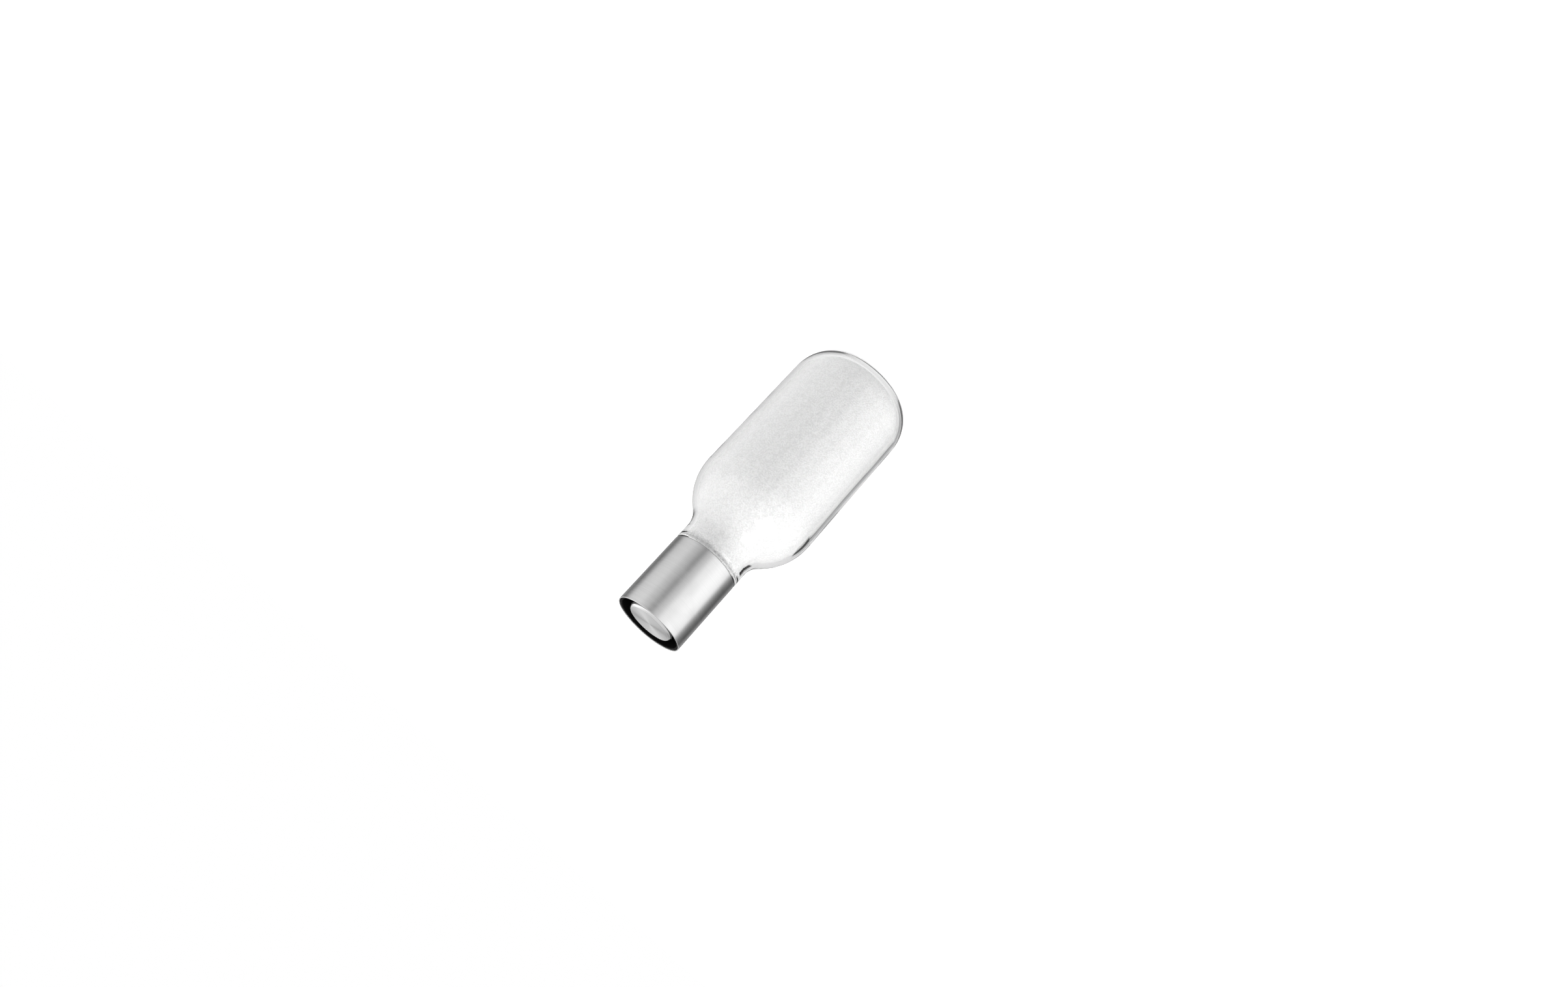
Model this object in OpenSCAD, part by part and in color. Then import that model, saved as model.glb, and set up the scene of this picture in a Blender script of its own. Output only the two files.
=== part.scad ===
// Sugar dispenser: a glass bottle with a lift-off pouring head.
// The head is a steel collar lined with black plastic. A round steel flap closes
// its mouth by its own weight and swings open on a cross pin when the bottle is tilted.
// Origin: centre of the foot. +Z runs up the bottle, and -X is the side that pours.

/* [Bottle] */
// Overall height, from the foot to the rim of the spout
total_h = 165; // [150:1:190]
// Outer diameter of the glass body
body_d = 64; // [58:1:74]
// Thickness of the glass wall
glass_wall = 2.4; // [2:0.1:3]
// Thickness of the glass bottom at its middle
base_wall = 3; // [2.6:0.1:5]
// Reach of the rounded bottom edge, inwards from the side
corner_w = 11; // [6:0.5:15]
// Height of the rounded bottom edge
corner_h = 16.5; // [10:0.5:20]
// Length of straight neck below the collar
neck_len = 7.6; // [5:0.2:12]
// Radius of the hollow curve from the neck to the shoulder
neck_curve_r = 13; // [9:0.5:16]
// Radius of the full curve from the shoulder to the side
shoulder_r = 30; // [20:1:34]
// Slope of the shoulder, in degrees from upright
shoulder_slope = 43; // [36:1:52]
// Depth of the bottle's own rim below the rim of the spout
rim_depth = 19.2; // [19.2:0.1:23]
// Thickness of the glass in the narrow finish inside the collar
finish_wall = 2.5; // [2:0.1:2.8]

/* [Collar] */
// Outer diameter of the steel collar and of the glass neck
collar_d = 35.5; // [34.5:0.5:38]
// Length of the steel collar
collar_len = 40; // [34:1:50]
// Sheet thickness of the collar
collar_wall = 0.5; // [0.4:0.1:0.9]
// Width of the edge that is turned in at the bottle end
collar_lip_w = 1.2; // [0.9:0.1:1.4]

/* [Spout insert] */
// Wall of the liner inside the collar
liner_wall = 1.2; // [0.9:0.1:1.5]
// Depth of the deck below the face of the closed flap
deck_depth = 6.2; // [5.8:0.1:8]
// Thickness of the deck
deck_t = 2; // [1.4:0.1:3]
// Narrowing from the sugar channel to the throat
throat_step = 0.6; // [0.4:0.1:1]
// Width of the raised seat round the throat
seat_w = 1.1; // [0.8:0.1:1.3]
// Wall of the sugar channel
channel_wall = 1.2; // [0.9:0.1:1.6]

/* [Neck plug] */
// Length of the plug inside the glass finish
plug_len = 15; // [11:0.5:20]
// Thickness of the plug's flange
flange_t = 2.4; // [1.6:0.2:3.2]
// Thickness of the seal's sleeve on the plug
sleeve_t = 0.9; // [0.7:0.1:1.2]
// Reach of each fin, from the sleeve to the glass
fin_w = 1.3; // [1:0.1:1.8]
// Thickness of each fin
fin_t = 0.8; // [0.6:0.1:1.1]
// Number of fins
fin_count = 3; // [2:1:4]

/* [Flap] */
// Gap round the closed flap, which the sugar pours through
pour_gap = 4; // [3.4:0.1:4.4]
// Depth of the closed flap's face below the rim of the spout
flap_recess = 0.5; // [0:0.1:1]
// Height of the flap's turned-down edge
flap_edge_h = 1.8; // [1.4:0.1:2]
// Sheet thickness of the flap
flap_sheet = 0.8; // [0.6:0.1:1]
// Width of the polished bevel round the flap's face
flap_bevel = 0.9; // [0.4:0.1:1]
// Thickness of the hinge plate below the steel
plate_t = 2; // [1.6:0.1:2.2]
// Thickness of the flap's soft seal
seal_t = 0.6; // [0.4:0.1:0.8]
// Diameter of the cross pin
pin_d = 1.6; // [1.2:0.1:1.8]
// Distance from the rear edge of the flap in to the cross pin
pin_inset = 3.6; // [3.2:0.1:4]
// Depth of the cross pin below the flap's face
pin_depth = 3.5; // [3.3:0.1:3.6]
// Distance from the edge of the flap in to each hinge ear's inner face
ear_inset = 1.1; // [0.8:0.1:2]
// Thickness of each hinge ear
ear_t = 2; // [1.4:0.1:2.4]

/* [Hidden] */
$fn = 96;

// Clearances
overrun = 1;           // how far a cut runs past the face that it opens
rest_gap = 0.3;        // between parts that lie on each other and come apart
slip_gap = 0.05;       // radial, between the fins and the glass
pin_gap = 0.05;        // radial, between the cross pin and the flap's barrel
hold_gap = 0.02;       // radial, between the cross pin and the ears that hold it
swing_gap = 0.3;       // between what turns and what it passes
snug_gap = 0.03;       // between pieces that are pressed or bonded together

// Small edges
glass_round = 0.7;     // fire-polished rim of the glass
sheet_round = 0.2;     // broken edge of the steel sheet
lip_bend_r = 0.9;      // outer bend of the turned-in edge
moulded_round = 0.5;   // rounded edge of the plastic

// Bottle
body_r = body_d / 2;
collar_r = collar_d / 2;
neck_r = collar_r;
flap_top = total_h - flap_recess;
collar_z = total_h - collar_len;
step_z = collar_z - rest_gap;
neck_z = step_z - neck_len;
rim_z = total_h - rim_depth;
lip_in_r = collar_r - collar_lip_w;
finish_r = lip_in_r - rest_gap;
bore_r = finish_r - finish_wall;
inner_step_h = 2 * glass_wall;  // height over which the bore narrows into the finish
punt_h = 1.5;          // how far the bottom is pushed up at its middle
foot_w = 5;            // width of the flat ring that the bottle stands on
foot_r = body_r - corner_w;
punt_r = foot_r - foot_w;
shoulder_run = body_r - shoulder_r * (1 - cos(shoulder_slope))
             - neck_r - neck_curve_r * (1 - cos(shoulder_slope));
shoulder_z = neck_z - neck_curve_r * sin(shoulder_slope)
           - shoulder_run / tan(shoulder_slope) - shoulder_r * sin(shoulder_slope);
arc_steps = 14;

// Collar and insert
collar_in_r = collar_r - collar_wall;
liner_r = collar_in_r - snug_gap;
liner_in_r = liner_r - liner_wall;
liner_top = total_h - rest_gap;
deck_z = flap_top - deck_depth;

// Plug and seal
gasket_t = 0.8;        // soft flange that lies on the glass rim
flange_z = rim_z + gasket_t + snug_gap;
flange_top = flange_z + flange_t;
joint_z = flange_top + snug_gap;
spigot_h = 3;          // ring on the flange that grips the channel's outside
spigot_w = 1.2;
fin_r = bore_r - slip_gap;
sleeve_r = fin_r - fin_w;
sleeve_in_r = sleeve_r - sleeve_t;
tube_r = sleeve_in_r - snug_gap;
channel_r = tube_r - channel_wall;
throat_r = channel_r - throat_step;
plug_z = rim_z - plug_len;
plug_end_h = 1.5;      // bare end of the plug below the sleeve
plug_end_r = tube_r + sleeve_t;
entry_flare = 0.8;     // widening of the channel at its lower end
sleeve_len = plug_len - plug_end_h - snug_gap;
fin_pitch = sleeve_len / (fin_count + 1);
gasket_r = finish_r;

// Flap
flap_r = liner_in_r - pour_gap;
cap_in_r = flap_r - flap_sheet;
cap_z = flap_top - flap_edge_h;
plate_z = cap_z - plate_t;
plate_r = flap_r - 0.5 * flap_sheet;
seal_z = plate_z - seal_t;
pin_r = pin_d / 2;
pin_x = flap_r - pin_inset;
pin_z = flap_top - pin_depth;
barrel_r = cap_z - pin_z;
ear_r = barrel_r - swing_gap;
ear_gap = 2 * (sqrt(flap_r * flap_r - pin_x * pin_x) - ear_inset);
barrel_len = ear_gap - 2 * swing_gap;
plate_flat = pin_x - ear_r - 1.5 * swing_gap;
seal_flat = plate_flat - swing_gap;
seal_r = plate_r - swing_gap;
seat_top = seal_z - rest_gap;
seat_r = throat_r + seat_w;
seat_flat = seal_flat - swing_gap / 2;
throat_flat = seat_flat - seat_w;
seal_in_r = throat_r - seat_w;
seal_in_flat = throat_flat - seat_w;
pin_end = 0.3;         // how far the pin stands out of each ear
pin_len = ear_gap + 2 * ear_t + 2 * pin_end;

// Points of an arc about [cx, cy], from angle a0 to angle a1
function arc(cx, cy, rx, ry, a0, a1, n) =
    [for (i = [0:n]) let (t = a0 + (a1 - a0) * i / n) [cx + rx * cos(t), cy + ry * sin(t)]];

// Side of the bottle from the neck to the top of the bottom corner, at depth w into the glass
function bottle_side(w) = concat(
    arc(neck_r + neck_curve_r, neck_z, neck_curve_r + w, neck_curve_r + w,
        180, 180 + shoulder_slope, arc_steps),
    arc(body_r - shoulder_r, shoulder_z, shoulder_r - w, shoulder_r - w,
        shoulder_slope, 0, arc_steps),
    [[body_r - w, corner_h]]);

// Outer and inner outline of the bottle, as one closed loop
function bottle_outline() = concat(
    arc(finish_r - glass_round, rim_z - glass_round, glass_round, glass_round, 90, 0, 6),
    [[finish_r, step_z]],
    arc(neck_r - glass_round, step_z - glass_round, glass_round, glass_round, 90, 0, 6),
    bottle_side(0),
    arc(foot_r, corner_h, corner_w, corner_h, 0, -90, arc_steps),
    [for (i = [0:6]) let (q = 1 - i / 6) [punt_r * q, punt_h * (1 - q * q)]],
    [[0, base_wall + punt_h]],
    [for (i = [6:-1:0]) let (q = 1 - i / 6)
        [foot_r * q, base_wall + punt_h * (1 - q * q)]],
    arc(foot_r, corner_h, corner_w - glass_wall, corner_h - base_wall, -90, 0, arc_steps),
    [for (i = [len(bottle_side(glass_wall)) - 2:-1:0]) bottle_side(glass_wall)[i]],
    [for (i = [0:6]) let (q = (1 - cos(30 * i)) / 2)
        [neck_r - glass_wall + (bore_r - neck_r + glass_wall) * q,
         step_z - inner_step_h * (1 - i / 6)]],
    arc(bore_r + glass_round, rim_z - glass_round, glass_round, glass_round, 180, 90, 6));

module glass_bottle() {
    color([0.86, 0.92, 0.93, 0.45])
    rotate_extrude()
        polygon(bottle_outline());
}

// Brushed steel tube: broken edge at the spout, turned-in edge at the bottle
module steel_collar() {
    color("silver")
    rotate_extrude()
        polygon(concat(
            arc(collar_r - sheet_round, total_h - sheet_round, sheet_round, sheet_round, 90, 0, 4),
            arc(collar_r - lip_bend_r, collar_z + lip_bend_r, lip_bend_r, lip_bend_r, 0, -90, 8),
            [[lip_in_r, collar_z], [lip_in_r, collar_z + collar_wall]],
            arc(collar_r - lip_bend_r, collar_z + lip_bend_r, lip_bend_r - collar_wall,
                lip_bend_r - collar_wall, -90, 0, 4),
            arc(collar_in_r + sheet_round, total_h - sheet_round, sheet_round, sheet_round,
                180, 90, 4)));
}

// Round outline with one flat side, towards +X
module d_shape(r, flat) {
    intersection() {
        circle(r);
        translate([-r - overrun, -r - overrun])
            square([r + overrun + flat, 2 * (r + overrun)]);
    }
}

// Upright ear with a round head on the cross pin
module hinge_ear(y) {
    translate([pin_x, y + ear_t, pin_z])
        rotate([90, 0, 0])
            cylinder(r = ear_r, h = ear_t);
    translate([pin_x - ear_r, y, deck_z - deck_t / 2])
        cube([2 * ear_r, ear_t, pin_z - deck_z + deck_t / 2]);
}

// Black liner with the deck, the seat round the throat, the hinge ears and the channel
module spout_insert() {
    color([0.07, 0.07, 0.075])
    difference() {
        union() {
            rotate_extrude()
                polygon(concat(
                    arc(liner_r - moulded_round, liner_top - moulded_round, moulded_round,
                        moulded_round, 90, 0, 5),
                    [[liner_r, joint_z], [liner_in_r, joint_z],
                     [liner_in_r, deck_z - deck_t], [tube_r, deck_z - deck_t],
                     [tube_r, joint_z], [channel_r, joint_z],
                     [channel_r, deck_z - deck_t], [0, deck_z - deck_t], [0, deck_z]],
                    arc(liner_in_r - moulded_round, deck_z + moulded_round, moulded_round,
                        moulded_round, -90, 0, 5),
                    arc(liner_in_r + moulded_round, liner_top - moulded_round, moulded_round,
                        moulded_round, 180, 90, 5)));
            translate([0, 0, deck_z - deck_t / 2])
                linear_extrude(seat_top - deck_z + deck_t / 2)
                    d_shape(seat_r, seat_flat);
            hinge_ear(ear_gap / 2);
            hinge_ear(-ear_gap / 2 - ear_t);
        }
        translate([0, 0, deck_z - deck_t - overrun])
            linear_extrude(seat_top - deck_z + deck_t + 2 * overrun)
                d_shape(throat_r, throat_flat);
        translate([pin_x, pin_len / 2 + overrun, pin_z])
            rotate([90, 0, 0])
                cylinder(r = pin_r + hold_gap, h = pin_len + 2 * overrun);
    }
}

// Black plug: a flange that closes the insert, and a tube that enters the glass finish
module neck_plug() {
    color([0.1, 0.1, 0.105])
    rotate_extrude()
        polygon([
            [channel_r, flange_top],
            [channel_r, plug_z + plug_end_h],
            [channel_r + entry_flare, plug_z],
            [plug_end_r, plug_z],
            [plug_end_r, plug_z + plug_end_h],
            [tube_r, plug_z + plug_end_h],
            [tube_r, flange_z],
            [liner_r - moulded_round, flange_z],
            [liner_r, flange_z + moulded_round],
            [liner_r, flange_top],
            [tube_r + snug_gap + spigot_w, flange_top],
            [tube_r + snug_gap + spigot_w, flange_top + spigot_h],
            [tube_r + snug_gap, flange_top + spigot_h],
            [tube_r + snug_gap, flange_top]]);
}

// Soft sleeve on the plug, with fins that grip the glass and a flange on its rim
module neck_seal() {
    color([0.16, 0.16, 0.165])
    rotate_extrude()
        polygon(concat(
            [[sleeve_in_r, flange_z - snug_gap], [gasket_r, flange_z - snug_gap],
             [gasket_r, rim_z], [sleeve_r, rim_z]],
            [for (i = [0:fin_count - 1])
                let (z = rim_z - (i + 1) * fin_pitch)
                each [[sleeve_r, z + fin_t], [fin_r, z + fin_t / 2],
                      [fin_r, z + fin_t / 4], [sleeve_r, z]]],
            [[sleeve_r, rim_z - sleeve_len], [sleeve_in_r, rim_z - sleeve_len]]));
}

// Steel cap of the flap: a shallow cup with a bevel round its face
module flap_disc() {
    color("gainsboro")
    rotate_extrude()
        polygon([
            [0, flap_top],
            [0, flap_top - flap_sheet],
            [cap_in_r, flap_top - flap_sheet],
            [cap_in_r, cap_z],
            [flap_r, cap_z],
            [flap_r, flap_top - flap_bevel],
            [flap_r - flap_bevel, flap_top]]);
}

// Side view of the arm and its barrel, with the bore for the cross pin
module hinge_profile() {
    difference() {
        union() {
            translate([plate_flat - swing_gap, plate_z])
                square([pin_x - plate_flat + swing_gap, cap_z - snug_gap - plate_z]);
            translate([pin_x, pin_z])
                circle(barrel_r - snug_gap);
        }
        translate([pin_x, pin_z])
            circle(pin_r + pin_gap);
    }
}

// Black hinge plate under the steel, with the barrel that turns on the pin
module flap_carrier() {
    color([0.12, 0.12, 0.125])
    union() {
        translate([0, 0, cap_z - snug_gap])
            cylinder(r = cap_in_r - snug_gap, h = flap_top - flap_sheet - cap_z);
        translate([0, 0, plate_z])
            linear_extrude(cap_z - snug_gap - plate_z)
                d_shape(plate_r, plate_flat);
        translate([0, barrel_len / 2, 0])
            rotate([90, 0, 0])
                linear_extrude(barrel_len)
                    hinge_profile();
    }
}

// Soft ring that closes on the seat
module flap_seal() {
    color([0.2, 0.2, 0.205])
    translate([0, 0, seal_z])
        linear_extrude(seal_t)
            difference() {
                d_shape(seal_r, seal_flat);
                d_shape(seal_in_r, seal_in_flat);
            }
}

// Steel cross pin, with rounded ends
module hinge_pin() {
    color("lightgray")
    translate([pin_x, pin_len / 2, pin_z])
        rotate([90, 0, 0])
            rotate_extrude()
                polygon([[0, 0], [pin_r - sheet_round, 0], [pin_r, sheet_round],
                         [pin_r, pin_len - sheet_round], [pin_r - sheet_round, pin_len],
                         [0, pin_len]]);
}

glass_bottle();
steel_collar();
spout_insert();
neck_plug();
neck_seal();
flap_disc();
flap_carrier();
flap_seal();
hinge_pin();
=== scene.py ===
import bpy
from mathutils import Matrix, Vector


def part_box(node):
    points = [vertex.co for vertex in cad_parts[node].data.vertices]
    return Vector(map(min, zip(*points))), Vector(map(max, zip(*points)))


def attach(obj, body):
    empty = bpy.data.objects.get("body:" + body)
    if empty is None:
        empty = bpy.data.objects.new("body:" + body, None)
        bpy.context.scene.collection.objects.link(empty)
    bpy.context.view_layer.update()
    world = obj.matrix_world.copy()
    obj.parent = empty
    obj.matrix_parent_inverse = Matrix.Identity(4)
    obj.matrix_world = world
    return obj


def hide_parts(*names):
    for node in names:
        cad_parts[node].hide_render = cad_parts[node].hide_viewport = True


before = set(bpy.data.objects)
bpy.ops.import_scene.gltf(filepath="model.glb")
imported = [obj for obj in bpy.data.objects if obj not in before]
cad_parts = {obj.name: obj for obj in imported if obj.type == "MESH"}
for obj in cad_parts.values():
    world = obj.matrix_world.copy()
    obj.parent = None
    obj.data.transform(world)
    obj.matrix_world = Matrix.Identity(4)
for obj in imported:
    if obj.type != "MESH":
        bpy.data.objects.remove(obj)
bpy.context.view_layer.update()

# %% [markdown]
# A sugar dispenser stands on its glass foot, mouth up. Its pouring head is a steel collar
# round a black moulded insert, and a round steel flap closes the mouth.
# The solids come from the frame in metres. What shines or bends light is made again here
# with many more faces, because a solid from CAD is cut into flats that show in a mirror and
# in glass. What is black and hidden in the mouth stays, and only gets a finish.

# %% Tools and sizes
from math import cos, degrees, pi, radians, sin, tan

import bpy
from mathutils import Quaternion, Vector

glass_low, glass_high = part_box("glass_bottle")
collar_low, collar_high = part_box("steel_collar")
flap_low, flap_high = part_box("flap_disc")

body_r = glass_high[0]
neck_r = collar_high[0]
flap_r = flap_high[0]
total_h = collar_high[2]
collar_z = collar_low[2]
rim_z = glass_high[2]
flap_top = flap_high[2]
cap_z = flap_low[2]
MM = 0.001
print(f"body {2 * body_r / MM:.1f} mm, collar {2 * neck_r / MM:.1f} mm,",
      f"height {total_h / MM:.1f} mm")

# %% [markdown]
# The camera stands at the photograph's viewing angle. Its place, its direction and its roll
# were worked out from the outline of the bottle and the ellipse of the mouth. The bottle was
# tipped over to pour, so here the camera is rolled instead of the bottle.

# %% Camera
camera_place = Vector((-0.00043, -0.54079, 0.31181))
camera_look = Vector((-0.00951, 0.91407, -0.40545))
camera_roll = radians(-138.07)
sensor_mm, lens_mm = 36, 28.12

camera_data = bpy.data.cameras.new("photo_camera")
camera_data.sensor_width = sensor_mm
camera_data.lens = lens_mm
camera = bpy.data.objects.new("photo_camera", camera_data)
bpy.context.collection.objects.link(camera)
camera.location = camera_place
camera.rotation_mode = "QUATERNION"
camera.rotation_quaternion = (camera_look.to_track_quat("-Z", "Y")
                              @ Quaternion((0, 0, 1), camera_roll))
bpy.context.scene.camera = camera
bpy.context.scene.view_settings.view_transform = "Standard"
print(f"camera rolled by {degrees(camera_roll):.1f} degrees")

# %% [markdown]
# A node tree is built link by link. Two small helpers keep that short: one adds a node with
# its settings and links in one go, and one starts a material from its Principled BSDF.

# %% Node helpers
def add_node(tree, kind, links=None, **settings):
    """Add a node. Settings are its properties, and links go to its inputs by name or number."""
    node = tree.nodes.new(kind)
    for name, value in settings.items():
        setattr(node, name, value)
    for key, value in (links or {}).items():
        if isinstance(value, bpy.types.NodeSocket):
            tree.links.new(value, node.inputs[key])
        else:
            node.inputs[key].default_value = value
    return node


def math_node(tree, operation, *values):
    """Add a Math node and return its result."""
    node = add_node(tree, "ShaderNodeMath", dict(enumerate(values)), operation=operation)
    return node.outputs[0]


def new_material(name, **values):
    """Start a material from its Principled BSDF, with plain values set on the shader."""
    material = bpy.data.materials.new(name)
    material.use_nodes = True
    shader = material.node_tree.nodes["Principled BSDF"]
    for key, value in values.items():
        shader.inputs[key.replace("_", " ")].default_value = value
    return material, material.node_tree, shader


print("node helpers ready")

# %% [markdown]
# The studio is a white tent with cards in it. Steel and clear glass have no look of their
# own: they show the light and dark cards that stand round them. A bright card stands to the
# left of the camera, dark cards stand at both sides of the background, and the rest is pale
# grey. One could set up a card as a plane each, but they would stand in the way of other
# views, so they are painted on the sky instead: a ramp runs round the horizon, once, and a
# paler one lies above it.
# Glass bends what is behind it into its edges, so what it lets through comes from a ramp of
# its own. That one has paler cards, two thin dark strips and one short dark bar, which draw
# the lines along the edge of the bottle, and slim grey posts further round, so that the
# edge doesn't vanish in white from other sides. For the same reason, what is seen straight
# through the glass stays a little below white, while the light that falls on what the
# bottle holds keeps its strength. The camera itself sees plain white.

# %% Studio cards on the sky
mirror_cards = [  # degrees round from the background, and how bright the card is
    (0, 0.88), (10, 0.60), (24, 0.36), (36, 0.22), (47, 0.07), (60, 0.32), (76, 0.80),
    (112, 0.86), (136, 0.56), (157, 0.20), (176, 0.74), (200, 1.40), (234, 1.70), (264, 1.54),
    (278, 0.44), (290, 0.18), (308, 0.05), (320, 0.28), (334, 0.40), (348, 0.80),
]
high_cards = [  # the same, above the horizon
    (0, 0.80), (16, 0.90), (50, 1.40), (100, 1.50), (180, 1.00), (270, 0.80), (320, 0.40),
    (342, 0.60),
]
window_cards = [  # the same, as seen through the glass
    (0, 0.96), (20, 0.94), (27, 0.87), (32, 0.90), (50, 1.00), (68, 2.20), (104, 2.20),
    (130, 0.90), (165, 0.60), (190, 1.05), (230, 1.66), (270, 1.54), (286, 1.15), (306, 0.86),
    (320, 0.80), (324, 0.04), (328, 0.80), (332, 0.06), (336, 1.00), (352, 1.00),
]
high_from, high_full = 0.0, 0.3  # height of a direction on the sky, from -1 to 1
roof_from, roof_full, roof_level = 0.6, 0.95, 0.85
glimpse_limit = 0.95
post_count, post_edge, post_level = 12, 0.2, 0.45
posts_at, posts_reach = 215, 95  # degrees, as all the places round the horizon
strips_at, strips_reach = 327, 16
strips_full, strips_end, past_strips = -0.3, -0.18, 0.85
bar_at, bar_reach, bar_height, bar_half, bar_level = 318, 9, -0.275, 0.115, 0.01
world = bpy.data.worlds.new("studio_tent")
bpy.context.scene.world = world
world.use_nodes = True
sky = world.node_tree
background = sky.nodes["Background"]
direction = add_node(sky, "ShaderNodeTexCoord").outputs["Generated"]
parts = add_node(sky, "ShaderNodeSeparateXYZ", {"Vector": direction})
turn = math_node(sky, "ARCTAN2", parts.outputs["X"], parts.outputs["Y"])
turns = math_node(sky, "DIVIDE", turn, 2 * pi)
round_once = math_node(sky, "FRACT", math_node(sky, "ADD", turns, 1.0))


def card_ramp(cards):
    """A ramp that runs once round the horizon and ends as it starts."""
    node = add_node(sky, "ShaderNodeValToRGB", {"Fac": round_once})
    ramp = node.color_ramp
    ramp.interpolation = "EASE"
    for place, level in cards[1:]:
        ramp.elements.new(place / 360).color = (level, level, level, 1)
    for end in (ramp.elements[0], ramp.elements[len(ramp.elements) - 1]):
        end.color = (cards[0][1],) * 3 + (1,)
    return node.outputs["Color"]


def mix_colour(tree, share, first, second):
    """Mix two colours, each a link or a plain grey level."""
    node = add_node(tree, "ShaderNodeMix", {"Factor": share}, data_type="RGBA")
    for socket, value in zip((node.inputs[6], node.inputs[7]), (first, second)):
        if isinstance(value, bpy.types.NodeSocket):
            tree.links.new(value, socket)
        else:
            socket.default_value = (value, value, value, 1)
    return node.outputs[2]


def rise(tree, value, start, end):
    """A mask that goes from 0 to 1 while a value goes from start to end."""
    return add_node(tree, "ShaderNodeMapRange", {"Value": value, "From Min": start,
                                                 "From Max": end}).outputs[0]


def stands_at(place, reach):
    """A mask of the directions that lie within a reach of a place, both in degrees."""
    return math_node(sky, "COMPARE", round_once, place / 360, reach / 360)


ray = add_node(sky, "ShaderNodeLightPath").outputs
up = parts.outputs["Z"]
mirror = mix_colour(sky, rise(sky, up, high_from, high_full),
                    card_ramp(mirror_cards), card_ramp(high_cards))

window = card_ramp(window_cards)
glimpse = math_node(sky, "MINIMUM", window, glimpse_limit)
post_wave = math_node(sky, "COSINE", math_node(sky, "MULTIPLY", turn, post_count))
posts = math_node(sky, "MULTIPLY", rise(sky, post_wave, post_edge, 1.0),
                  stands_at(posts_at, posts_reach))
glimpse = mix_colour(sky, posts, glimpse, post_level)
straight = math_node(sky, "LESS_THAN", ray["Diffuse Depth"], 0.5)
window = mix_colour(sky, straight, window, glimpse)

no_strips = math_node(sky, "MULTIPLY", stands_at(strips_at, strips_reach),
                      rise(sky, up, strips_full, strips_end))
window = mix_colour(sky, no_strips, window, past_strips)
short_bar = math_node(sky, "MULTIPLY", stands_at(bar_at, bar_reach),
                      math_node(sky, "COMPARE", up, bar_height, bar_half))
window = mix_colour(sky, short_bar, window, bar_level)

tent = mix_colour(sky, ray["Is Transmission Ray"], mirror, window)
roof = rise(sky, math_node(sky, "ABSOLUTE", up), roof_from, roof_full)
tent = mix_colour(sky, roof, tent, roof_level)
sky.links.new(mix_colour(sky, ray["Is Camera Ray"], tent, 1.0), background.inputs["Color"])
print(len(mirror_cards) + len(high_cards), "cards for mirrors,", len(window_cards), "for windows")

# %% [markdown]
# One soft lamp gives the shadow its direction. It hangs to the left of the camera, where the
# brightest card stands, so the steel and the shadow agree. The steel shows that card only,
# and not the lamp itself.

# %% Lamp and floor
lamp_place, lamp_size, lamp_watts = (-0.80, -0.62, 0.95), 0.8, 4.1
floor_size, floor_tone, floor_seen = 6, 0.8, 1.55

key_data = bpy.data.lights.new("softbox", "AREA")
key_data.shape = "SQUARE"
key_data.size = lamp_size
key_data.energy = lamp_watts
key = bpy.data.objects.new("softbox", key_data)
bpy.context.collection.objects.link(key)
key.location = lamp_place
key.visible_glossy = False
key.rotation_mode = "QUATERNION"
to_bottle = Vector((0, 0, total_h / 2)) - key.location
key.rotation_quaternion = to_bottle.to_track_quat("-Z", "Y")


def deselect_all():
    if bpy.context.object and bpy.context.object.mode != "OBJECT":
        bpy.ops.object.mode_set(mode="OBJECT")
    bpy.ops.object.select_all(action="DESELECT")


deselect_all()
bpy.ops.mesh.primitive_plane_add(size=floor_size, location=(0, 0, 0))
floor = bpy.context.object
floor.name = "studio_floor"

floor_paint, tree, shader = new_material("pale_floor", Roughness=0.9)
floor.data.materials.append(floor_paint)
ray = add_node(tree, "ShaderNodeLightPath").outputs
pale = mix_colour(tree, ray["Is Camera Ray"], floor_tone, floor_seen)
paint = add_node(tree, "ShaderNodeBsdfDiffuse", {"Color": pale})
open_floor = add_node(tree, "ShaderNodeBsdfTransparent")
past = math_node(tree, "MAXIMUM", ray["Is Glossy Ray"], ray["Is Transmission Ray"])
both = add_node(tree, "ShaderNodeMixShader",
                {0: past, 1: paint.outputs[0], 2: open_floor.outputs[0]})
tree.links.new(both.outputs[0], tree.nodes["Material Output"].inputs["Surface"])
print("softbox and floor are set")

# %% [markdown]
# Most of this object was turned, blown or drawn round one axis. As on a lathe, each such
# piece is one outline that is spun: the outline is drawn by extruding a single vertex from
# point to point, and the Spin tool sweeps it once round. Adding a cylinder and scaling its
# rings would also do, but an outline keeps every radius where the drawing has it.

# %% Outline and spin
def arc(cx, cz, rx, rz, start, end, steps):
    """Points of an arc about (cx, cz), from one angle to another, in degrees."""
    turns = [radians(start + (end - start) * i / steps) for i in range(steps + 1)]
    return [(cx + rx * cos(t), cz + rz * sin(t)) for t in turns]


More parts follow.
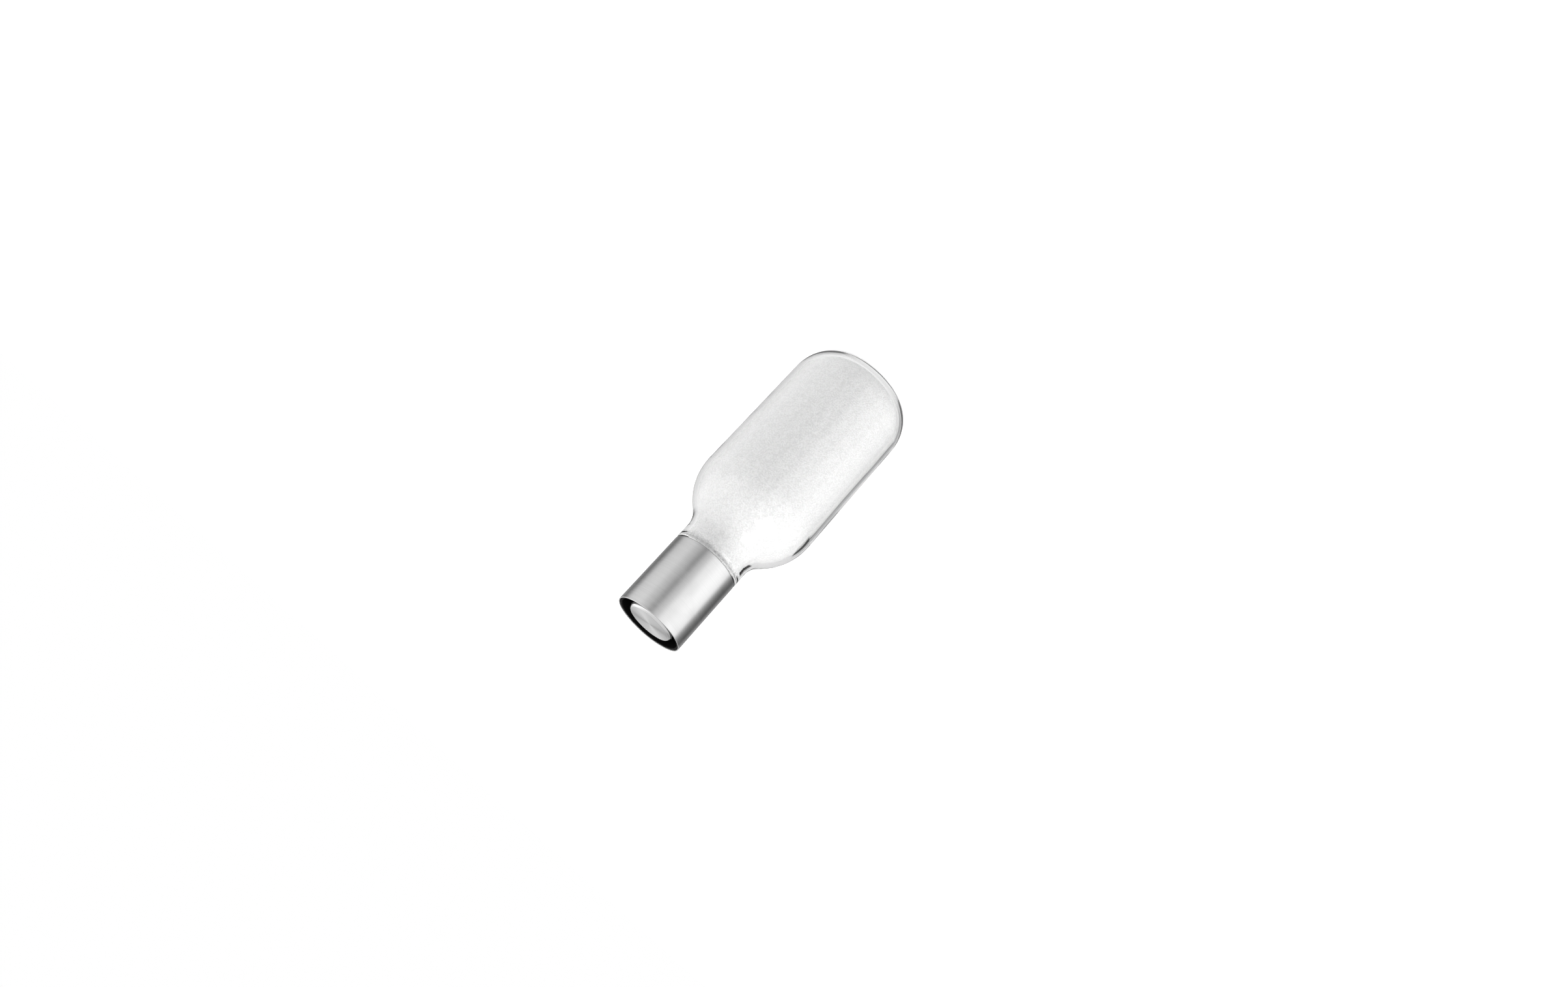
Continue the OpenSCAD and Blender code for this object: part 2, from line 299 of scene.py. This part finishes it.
def spun(name, outline, steps, sharp=40):
    """Draw an outline of (radius, height) points and spin it round the axis of the bottle."""
    deselect_all()
    bpy.ops.mesh.primitive_plane_add(size=MM, location=(0, 0, 0))
    piece = bpy.context.object
    piece.name = piece.data.name = name
    bpy.ops.object.mode_set(mode="EDIT")
    bpy.ops.mesh.select_all(action="SELECT")
    bpy.ops.mesh.merge(type="CENTER")
    bpy.ops.transform.translate(value=(outline[0][0], 0, outline[0][1]))
    for (r0, z0), (r1, z1) in zip(outline, outline[1:]):
        bpy.ops.mesh.extrude_region_move(TRANSFORM_OT_translate={"value": (r1 - r0, 0, z1 - z0)})
    bpy.ops.mesh.select_all(action="SELECT")
    bpy.ops.mesh.spin(steps=steps, angle=2 * pi, center=(0, 0, 0), axis=(0, 0, 1))
    bpy.ops.mesh.select_all(action="SELECT")
    bpy.ops.mesh.remove_doubles(threshold=MM / 1000)
    bpy.ops.mesh.normals_make_consistent(inside=False)
    bpy.ops.object.mode_set(mode="OBJECT")
    bpy.ops.object.shade_smooth_by_angle(angle=radians(sharp))
    print(f"{name}: {len(piece.data.polygons)} faces from {len(outline)} points")
    return piece


def finish_piece(piece, material, body, slot, *nodes):
    """Give a new piece its material, its body and the CAD nodes that it stands for."""
    piece.data.materials.clear()
    piece.data.materials.append(material)
    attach(piece, body)
    if nodes:
        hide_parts(*nodes)


# %% [markdown]
# The bottle is blown in one piece: a narrow finish that the collar hides, a short neck as wide
# as the collar, a hollow curve into the full shoulder, straight sides and a heavy rounded
# bottom that is pushed up a little in its middle. Its wall is drawn as one outline, outside
# and inside, so that light meets two real surfaces.

# %% Bottle glass
glass_wall = 2.4 * MM
base_wall = 3 * MM
corner_w, corner_h = 11 * MM, 16.5 * MM
neck_len = 7.6 * MM
neck_curve_r, shoulder_r, shoulder_slope = 13 * MM, 30 * MM, 43
lip_w, finish_wall = 1.2 * MM, 2.5 * MM
rest_gap, glass_round = 0.3 * MM, 0.7 * MM
punt_h, foot_w = 1.5 * MM, 5 * MM

step_z = collar_z - rest_gap
neck_z = step_z - neck_len
finish_r = neck_r - lip_w - rest_gap
bore_r = finish_r - finish_wall
foot_r = body_r - corner_w
punt_r = foot_r - foot_w
inner_step_h = 2 * glass_wall
slope = radians(shoulder_slope)
shoulder_run = (body_r - shoulder_r * (1 - cos(slope))) - neck_r - neck_curve_r * (1 - cos(slope))
shoulder_z = (neck_z - neck_curve_r * sin(slope) - shoulder_run / tan(slope)
              - shoulder_r * sin(slope))


def bottle_side(depth, steps=32):
    """Side of the bottle from its neck to its bottom corner, at a depth into the glass."""
    return (arc(neck_r + neck_curve_r, neck_z, neck_curve_r + depth, neck_curve_r + depth,
                180, 180 + shoulder_slope, steps)
            + arc(body_r - shoulder_r, shoulder_z, shoulder_r - depth, shoulder_r - depth,
                  shoulder_slope, 0, steps)
            + [(body_r - depth, corner_h)])


def inner_outline(depth, steps=32):
    """Inside of the bottle from the axis up to the step in its neck, at a depth."""
    floor_z = base_wall + depth - glass_wall
    bottom = [(foot_r * q / 8, floor_z + punt_h * (1 - (q / 8) ** 2)) for q in range(8)]
    corner = arc(foot_r, corner_h, corner_w - depth, corner_h - floor_z, -90, 0, steps)
    return bottom + corner + bottle_side(depth)[-2::-1]


punt = [(punt_r * q / 8, punt_h * (1 - (q / 8) ** 2)) for q in range(9)]
outside = (punt + arc(foot_r, corner_h, corner_w, corner_h, -90, 0, 32)
           + bottle_side(0)[-2::-1]
           + arc(neck_r - glass_round, step_z - glass_round, glass_round, glass_round, 0, 90, 8)
           + [(finish_r, step_z)]
           + arc(finish_r - glass_round, rim_z - glass_round, glass_round, glass_round, 0, 90, 8))
narrowing = [(neck_r - glass_wall + (bore_r - neck_r + glass_wall) * (1 - cos(pi * i / 12)) / 2,
              step_z - inner_step_h * (1 - i / 12)) for i in range(13)]
inside = (arc(bore_r + glass_round, rim_z - glass_round, glass_round, glass_round, 90, 180, 8)
          + narrowing[::-1] + inner_outline(glass_wall)[::-1])
bottle_glass = spun("bottle_glass", outside + inside, 192)

# %% [markdown]
# The bottle holds sugar. It isn't a part of the dispenser, but clear glass shows what it
# holds. The fill stops a hair's breadth short of the glass, because grains touch it only at
# their corners, and that gap gives the wall its clear edge.

# %% Sugar
grain_gap = 0.2 * MM
fill_z = rim_z - 18 * MM
heap_h = 2 * MM
fill = inner_outline(glass_wall + grain_gap)
fill += [(r - grain_gap, z) for r, z in narrowing[1:] if z < fill_z - heap_h]
top_r = fill[-1][0]
fill += [(top_r, fill_z - heap_h)] + [(top_r * cos(pi / 2 * i / 8),
                                       fill_z - heap_h + heap_h * sin(pi / 2 * i / 8))
                                      for i in range(1, 9)]
sugar_fill = spun("sugar_fill", fill, 128)

# %% [markdown]
# The collar is a drawn steel tube: its edge at the spout is broken so that it doesn't cut,
# and its edge at the bottle is turned in to meet the glass.

# %% Collar
collar_wall, sheet_round, lip_bend_r = 0.5 * MM, 0.2 * MM, 0.9 * MM
collar_in_r = neck_r - collar_wall
lip_in_r = neck_r - lip_w
collar_outline = (arc(neck_r - sheet_round, total_h - sheet_round, sheet_round, sheet_round,
                      90, 0, 6)
                  + arc(neck_r - lip_bend_r, collar_z + lip_bend_r, lip_bend_r, lip_bend_r,
                        0, -90, 12)
                  + [(lip_in_r, collar_z), (lip_in_r, collar_z + collar_wall)]
                  + arc(neck_r - lip_bend_r, collar_z + lip_bend_r, lip_bend_r - collar_wall,
                        lip_bend_r - collar_wall, -90, 0, 6)
                  + arc(collar_in_r + sheet_round, total_h - sheet_round, sheet_round, sheet_round,
                        180, 90, 6))
collar_tube = spun("collar_tube", collar_outline + collar_outline[:1], 192)

# %% [markdown]
# The flap's cap is pressed from thicker sheet into a shallow cup. Its face is turned on a
# lathe, and its edge is a narrow polished bevel that catches the light all round.

# %% Flap cap
flap_sheet, bevel, ease = 0.8 * MM, 0.9 * MM, 0.1 * MM
face_r = flap_r - bevel - ease
cap_outline = ([(0, flap_top - flap_sheet), (flap_r - flap_sheet, flap_top - flap_sheet),
                (flap_r - flap_sheet, cap_z), (flap_r, cap_z), (flap_r, flap_top - bevel - ease),
                (flap_r - ease, flap_top - bevel + ease), (flap_r - bevel + ease, flap_top - ease)]
               + [(face_r * q / 10, flap_top) for q in range(10, -1, -1)])
flap_cap = spun("flap_cap", cap_outline, 192)

# %% [markdown]
# Every finish here has fine lines or grain in it, and handling leaves faint marks on all of
# them. Each effect is built once as a node group that gives out a mask, and each material
# sets its own scale and strength.

# %% Shared effects
def new_group(name, inputs, outputs):
    """Start a node group with named number or vector inputs and outputs."""
    group = bpy.data.node_groups.new(name, "ShaderNodeTree")
    for socket, kind, value in inputs:
        made = group.interface.new_socket(socket, in_out="INPUT", socket_type=kind)
        if value is not None:
            made.default_value = value
    for socket, kind in outputs:
        group.interface.new_socket(socket, in_out="OUTPUT", socket_type=kind)
    return group, group.nodes.new("NodeGroupInput"), group.nodes.new("NodeGroupOutput")


NUMBER, VECTOR = "NodeSocketFloat", "NodeSocketVector"

fine_lines, entry, leave = new_group(
    "fine_lines", [("Vector", VECTOR, None), ("Scale", NUMBER, 1.0), ("Contrast", NUMBER, 0.5)],
    [("Mask", NUMBER)])
coarse = add_node(fine_lines, "ShaderNodeTexNoise", {"Vector": entry.outputs["Vector"],
                  "Scale": entry.outputs["Scale"], "Detail": 6.0, "Roughness": 0.7})
middle = math_node(fine_lines, "SUBTRACT", coarse.outputs["Fac"], 0.5)
stronger = math_node(fine_lines, "MULTIPLY_ADD", middle, entry.outputs["Contrast"], 0.5)
fine_lines.links.new(stronger, leave.inputs["Mask"])

handling, entry, leave = new_group(
    "handling_marks", [("Vector", VECTOR, None), ("Size", NUMBER, 60.0), ("Amount", NUMBER, 0.1)],
    [("Mask", NUMBER)])
smears = add_node(handling, "ShaderNodeTexNoise", {"Vector": entry.outputs["Vector"],
                  "Scale": entry.outputs["Size"], "Detail": 4.0, "Distortion": 0.8})
patches = add_node(handling, "ShaderNodeMapRange", {"Value": smears.outputs["Fac"],
                   "From Min": 0.45, "From Max": 0.75, "To Min": 0.0})
handling.links.new(math_node(handling, "MULTIPLY", patches.outputs[0], entry.outputs["Amount"]),
                   leave.inputs["Mask"])


def place_group(tree, group, **links):
    """Put a shared effect in a material with this material's own values."""
    return add_node(tree, "ShaderNodeGroup", links, node_tree=group).outputs[0]


def between(tree, mask, ends):
    """A number that runs between two ends as a mask goes from 0 to 1."""
    return add_node(tree, "ShaderNodeMapRange", {"Value": mask, "To Min": ends[0],
                                                 "To Max": ends[1]}).outputs[0]


def grey_between(tree, mask, ends):
    """A grey that runs between two levels as a mask goes from 0 to 1."""
    tone = between(tree, mask, ends)
    return add_node(tree, "ShaderNodeCombineColor", {0: tone, 1: tone, 2: tone}).outputs[0]


print("shared effects:", fine_lines.name, handling.name)

# %% [markdown]
# Clear glass is a Principled BSDF with full transmission. Blown glass is never quite even, so
# a slow noise waves its surface a little, and handling dulls it in faint patches. Lamps send
# their rays to the sugar straight through it: without that the lamp would be cut off by the
# glass and its shadow would be black.

# %% Glass
glass, tree, shader = new_material("blown_glass", IOR=1.5, Transmission_Weight=1.0)
shader.inputs["Base Color"].default_value = (1, 1, 1, 1)
spot = add_node(tree, "ShaderNodeTexCoord").outputs["Object"]
marks = place_group(tree, handling, Vector=spot, Size=70.0, Amount=0.03)
tree.links.new(marks, shader.inputs["Roughness"])
waves = add_node(tree, "ShaderNodeTexNoise", {"Vector": spot, "Scale": 45.0, "Detail": 1.0})
ripple = add_node(tree, "ShaderNodeBump", {"Height": waves.outputs["Fac"], "Strength": 0.25,
                                           "Distance": 0.4 * MM})
tree.links.new(ripple.outputs[0], shader.inputs["Normal"])
shadow = add_node(tree, "ShaderNodeLightPath").outputs["Is Shadow Ray"]
clear = add_node(tree, "ShaderNodeBsdfTransparent")
clear.inputs[0].default_value = (0.95, 0.95, 0.95, 1)
both = add_node(tree, "ShaderNodeMixShader",
                {0: shadow, 1: shader.outputs[0], 2: clear.outputs[0]})
tree.links.new(both.outputs[0], tree.nodes["Material Output"].inputs["Surface"])
finish_piece(bottle_glass, glass, "bottle", "clear_glass", "glass_bottle")
print("glass is set")

# %% [markdown]
# Sugar is a heap of small clear crystals that scatter nearly all light. Cells of half a
# millimetre stand for the crystals: each has its own tone and gloss, and its edge sinks in.
# Towards the neck, where the collar hides the sugar, grey speckles are painted into its colour as
# shade.

# %% Sugar grains
sugar, tree, shader = new_material("sugar_grains", IOR=1.54)
spot = add_node(tree, "ShaderNodeTexCoord").outputs["Object"]
grain = add_node(tree, "ShaderNodeTexVoronoi", {"Vector": spot, "Scale": 1900.0})
tone = add_node(tree, "ShaderNodeSeparateColor", {"Color": grain.outputs["Color"]})
clumps = add_node(tree, "ShaderNodeTexNoise", {"Vector": spot, "Scale": 700.0, "Detail": 3.0})
mixed = math_node(tree, "MULTIPLY_ADD", tone.outputs[0], 0.7, math_node(
    tree, "MULTIPLY", clumps.outputs["Fac"], 0.3))
white = add_node(tree, "ShaderNodeValToRGB", {"Fac": mixed})
white.color_ramp.elements[0].position = 0.2
white.color_ramp.elements[1].position = 0.8
white.color_ramp.elements[0].color = (0.86, 0.86, 0.86, 1)
white.color_ramp.elements[1].color = (1.0, 1.0, 1.0, 1)
height = add_node(tree, "ShaderNodeSeparateXYZ", {"Vector": spot}).outputs["Z"]
# painted shade: towards the neck the sugar's colour is speckled with grey, as shade under the
# collar
near_neck = rise(tree, height, neck_z - 2 * MM, step_z)
speckle_noise = add_node(tree, "ShaderNodeTexNoise", {"Vector": spot, "Scale": 700.0, "Detail": 3.0})
shade_speckles = add_node(tree, "ShaderNodeMapRange", {"Value": speckle_noise.outputs["Fac"], "From Min": 0.46,
                 "From Max": 0.66, "To Max": 0.34}).outputs[0]
neck_painted_shade = math_node(tree, "MULTIPLY", near_neck, shade_speckles)
tree.links.new(mix_colour(tree, neck_painted_shade, white.outputs[0], 0.3), shader.inputs["Base Color"])
gloss = math_node(tree, "MULTIPLY_ADD", tone.outputs[1], 0.5, 0.3)
tree.links.new(gloss, shader.inputs["Roughness"])
bump = add_node(tree, "ShaderNodeBump", {"Height": grain.outputs["Distance"], "Strength": 0.8,
                                         "Distance": 0.3 * MM}, invert=True)
tree.links.new(bump.outputs[0], shader.inputs["Normal"])
finish_piece(sugar_fill, sugar, "bottle", "clear_glass")
print("sugar is set")

# %% [markdown]
# The collar is brushed round the tube. Brushing leaves grooves, and a groove spreads a
# highlight across itself: here up and down the tube. So the shader is anisotropic along the
# axis, and a noise that is squeezed along the axis draws the grooves themselves.

# %% Brushed collar
def steel(name, spread):
    """Start a steel whose highlights spread this much across its grooves."""
    material, tree, shader = new_material(name, Metallic=1.0, Anisotropic=spread)
    spot = add_node(tree, "ShaderNodeTexCoord").outputs["Object"]
    return material, tree, shader, spot


def steel_finish(tree, shader, spot, lines_at, tangent, level, rough):
    """Link grooves, tone, roughness and the highlight's direction of one steel surface."""
    lines = place_group(tree, fine_lines, Vector=lines_at, Scale=1.0, Contrast=1.6)
    marks = place_group(tree, handling, Vector=spot, Size=90.0, Amount=0.05)
    tree.links.new(grey_between(tree, lines, level), shader.inputs["Base Color"])
    dull = between(tree, lines, rough)
    tree.links.new(math_node(tree, "ADD", dull, marks), shader.inputs["Roughness"])
    groove = add_node(tree, "ShaderNodeBump", {"Height": lines, "Strength": 0.12,
                                               "Distance": 0.02 * MM})
    tree.links.new(groove.outputs[0], shader.inputs["Normal"])
    world_tangent = add_node(tree, "ShaderNodeVectorTransform", {"Vector": tangent},
                             vector_type="VECTOR", convert_from="OBJECT", convert_to="WORLD")
    tree.links.new(world_tangent.outputs[0], shader.inputs["Tangent"])


collar_steel, tree, shader, spot = steel("brushed_collar", 0.9)
squeezed = add_node(tree, "ShaderNodeMapping", {"Vector": spot, "Scale": (45, 45, 5200)})
along = add_node(tree, "ShaderNodeCombineXYZ", {2: 1.0}).outputs[0]
steel_finish(tree, shader, spot, squeezed.outputs[0], along, (0.60, 0.76), (0.28, 0.40))
finish_piece(collar_tube, collar_steel, "head", "collar_steel", "steel_collar")
print("collar is brushed")

# %% [markdown]
# The flap's face is turned, so its grooves are circles and its highlights run from the centre
# outwards, as wedges of light. The same steel is used, with the radius in place of the height.
# The bevel round the face is polished, so it gets a smoother steel of its own.

# %% Turned flap
rings_scale = 4500


def rings_on(tree, spot):
    """Turned circles about the axis, and the direction that leads outwards across them."""
    xyz = add_node(tree, "ShaderNodeSeparateXYZ", {"Vector": spot})
    flat = add_node(tree, "ShaderNodeCombineXYZ", {0: xyz.outputs[0], 1: xyz.outputs[1]}).outputs[0]
    radius = add_node(tree, "ShaderNodeVectorMath", {0: flat}, operation="LENGTH").outputs["Value"]
    rings = add_node(tree, "ShaderNodeCombineXYZ",
                     {0: math_node(tree, "MULTIPLY", radius, rings_scale)})
    outwards = add_node(tree, "ShaderNodeVectorMath", {0: flat}, operation="NORMALIZE")
    return rings.outputs[0], outwards.outputs[0]


flap_steel, tree, shader, spot = steel("turned_flap", 0.97)
rings, outwards = rings_on(tree, spot)
steel_finish(tree, shader, spot, rings, outwards, (0.58, 0.74), (0.36, 0.46))
finish_piece(flap_cap, flap_steel, "flap", "flap_steel", "flap_disc")

polished, tree, shader, spot = steel("polished_bevel", 0.3)
rings, outwards = rings_on(tree, spot)
steel_finish(tree, shader, spot, rings, outwards, (0.68, 0.78), (0.12, 0.18))
flap_cap.data.materials.append(polished)
steepest, flattest = 0.2, 0.97  # upward part of the normal on the bevel's faces
for face in flap_cap.data.polygons:
    if steepest < face.normal.z < flattest:
        face.material_index = 1
print("flap is turned")

# %% [markdown]
# The insert, the plug and the hinge plate are moulded in black plastic with a satin skin. The
# seals are silicone: duller, with a little dust on them. Their solids stay, and only their
# materials change. The cross pin is ground steel.

# %% Black plastic, silicone and the pin
def moulded(name, colour, rough, grain_scale, grain_depth):
    """A moulded black material: satin grain, slow change of tone, faint handling."""
    material, tree, shader = new_material(name, Specular_IOR_Level=0.03)
    spot = add_node(tree, "ShaderNodeTexCoord").outputs["Object"]
    slow = add_node(tree, "ShaderNodeTexNoise", {"Vector": spot, "Scale": 120.0, "Detail": 3.0})
    skin = add_node(tree, "ShaderNodeTexNoise", {"Vector": spot, "Scale": grain_scale,
                                                 "Detail": 2.0})
    tree.links.new(grey_between(tree, slow.outputs["Fac"], colour), shader.inputs["Base Color"])
    marks = place_group(tree, handling, Vector=spot, Size=110.0, Amount=0.12)
    satin = between(tree, skin.outputs["Fac"], rough)
    tree.links.new(math_node(tree, "ADD", satin, marks), shader.inputs["Roughness"])
    bump = add_node(tree, "ShaderNodeBump", {"Height": skin.outputs["Fac"], "Strength": 0.3,
                                             "Distance": grain_depth})
    tree.links.new(bump.outputs[0], shader.inputs["Normal"])
    return material


black_plastic = moulded("satin_black_plastic", (0.002, 0.006), (0.40, 0.55), 2600.0, 0.03 * MM)
black_silicone = moulded("matte_black_silicone", (0.006, 0.014), (0.62, 0.8), 1500.0, 0.03 * MM)
pin_steel, tree, shader, spot = steel("ground_pin", 0.3)
stretched = add_node(tree, "ShaderNodeMapping", {"Vector": spot, "Scale": (900, 5200, 900)})
along_pin = add_node(tree, "ShaderNodeCombineXYZ", {1: 1.0}).outputs[0]
steel_finish(tree, shader, spot, stretched.outputs[0], along_pin, (0.55, 0.70), (0.2, 0.3))

cad_finishes = {"spout_insert": black_plastic, "neck_plug": black_plastic,
                "flap_carrier": black_plastic, "neck_seal": black_silicone,
                "flap_seal": black_silicone, "hinge_pin": pin_steel}
for node, material in cad_finishes.items():
    for material_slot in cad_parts[node].material_slots:
        material_slot.material = material
print(len(cad_finishes), "CAD nodes finished")
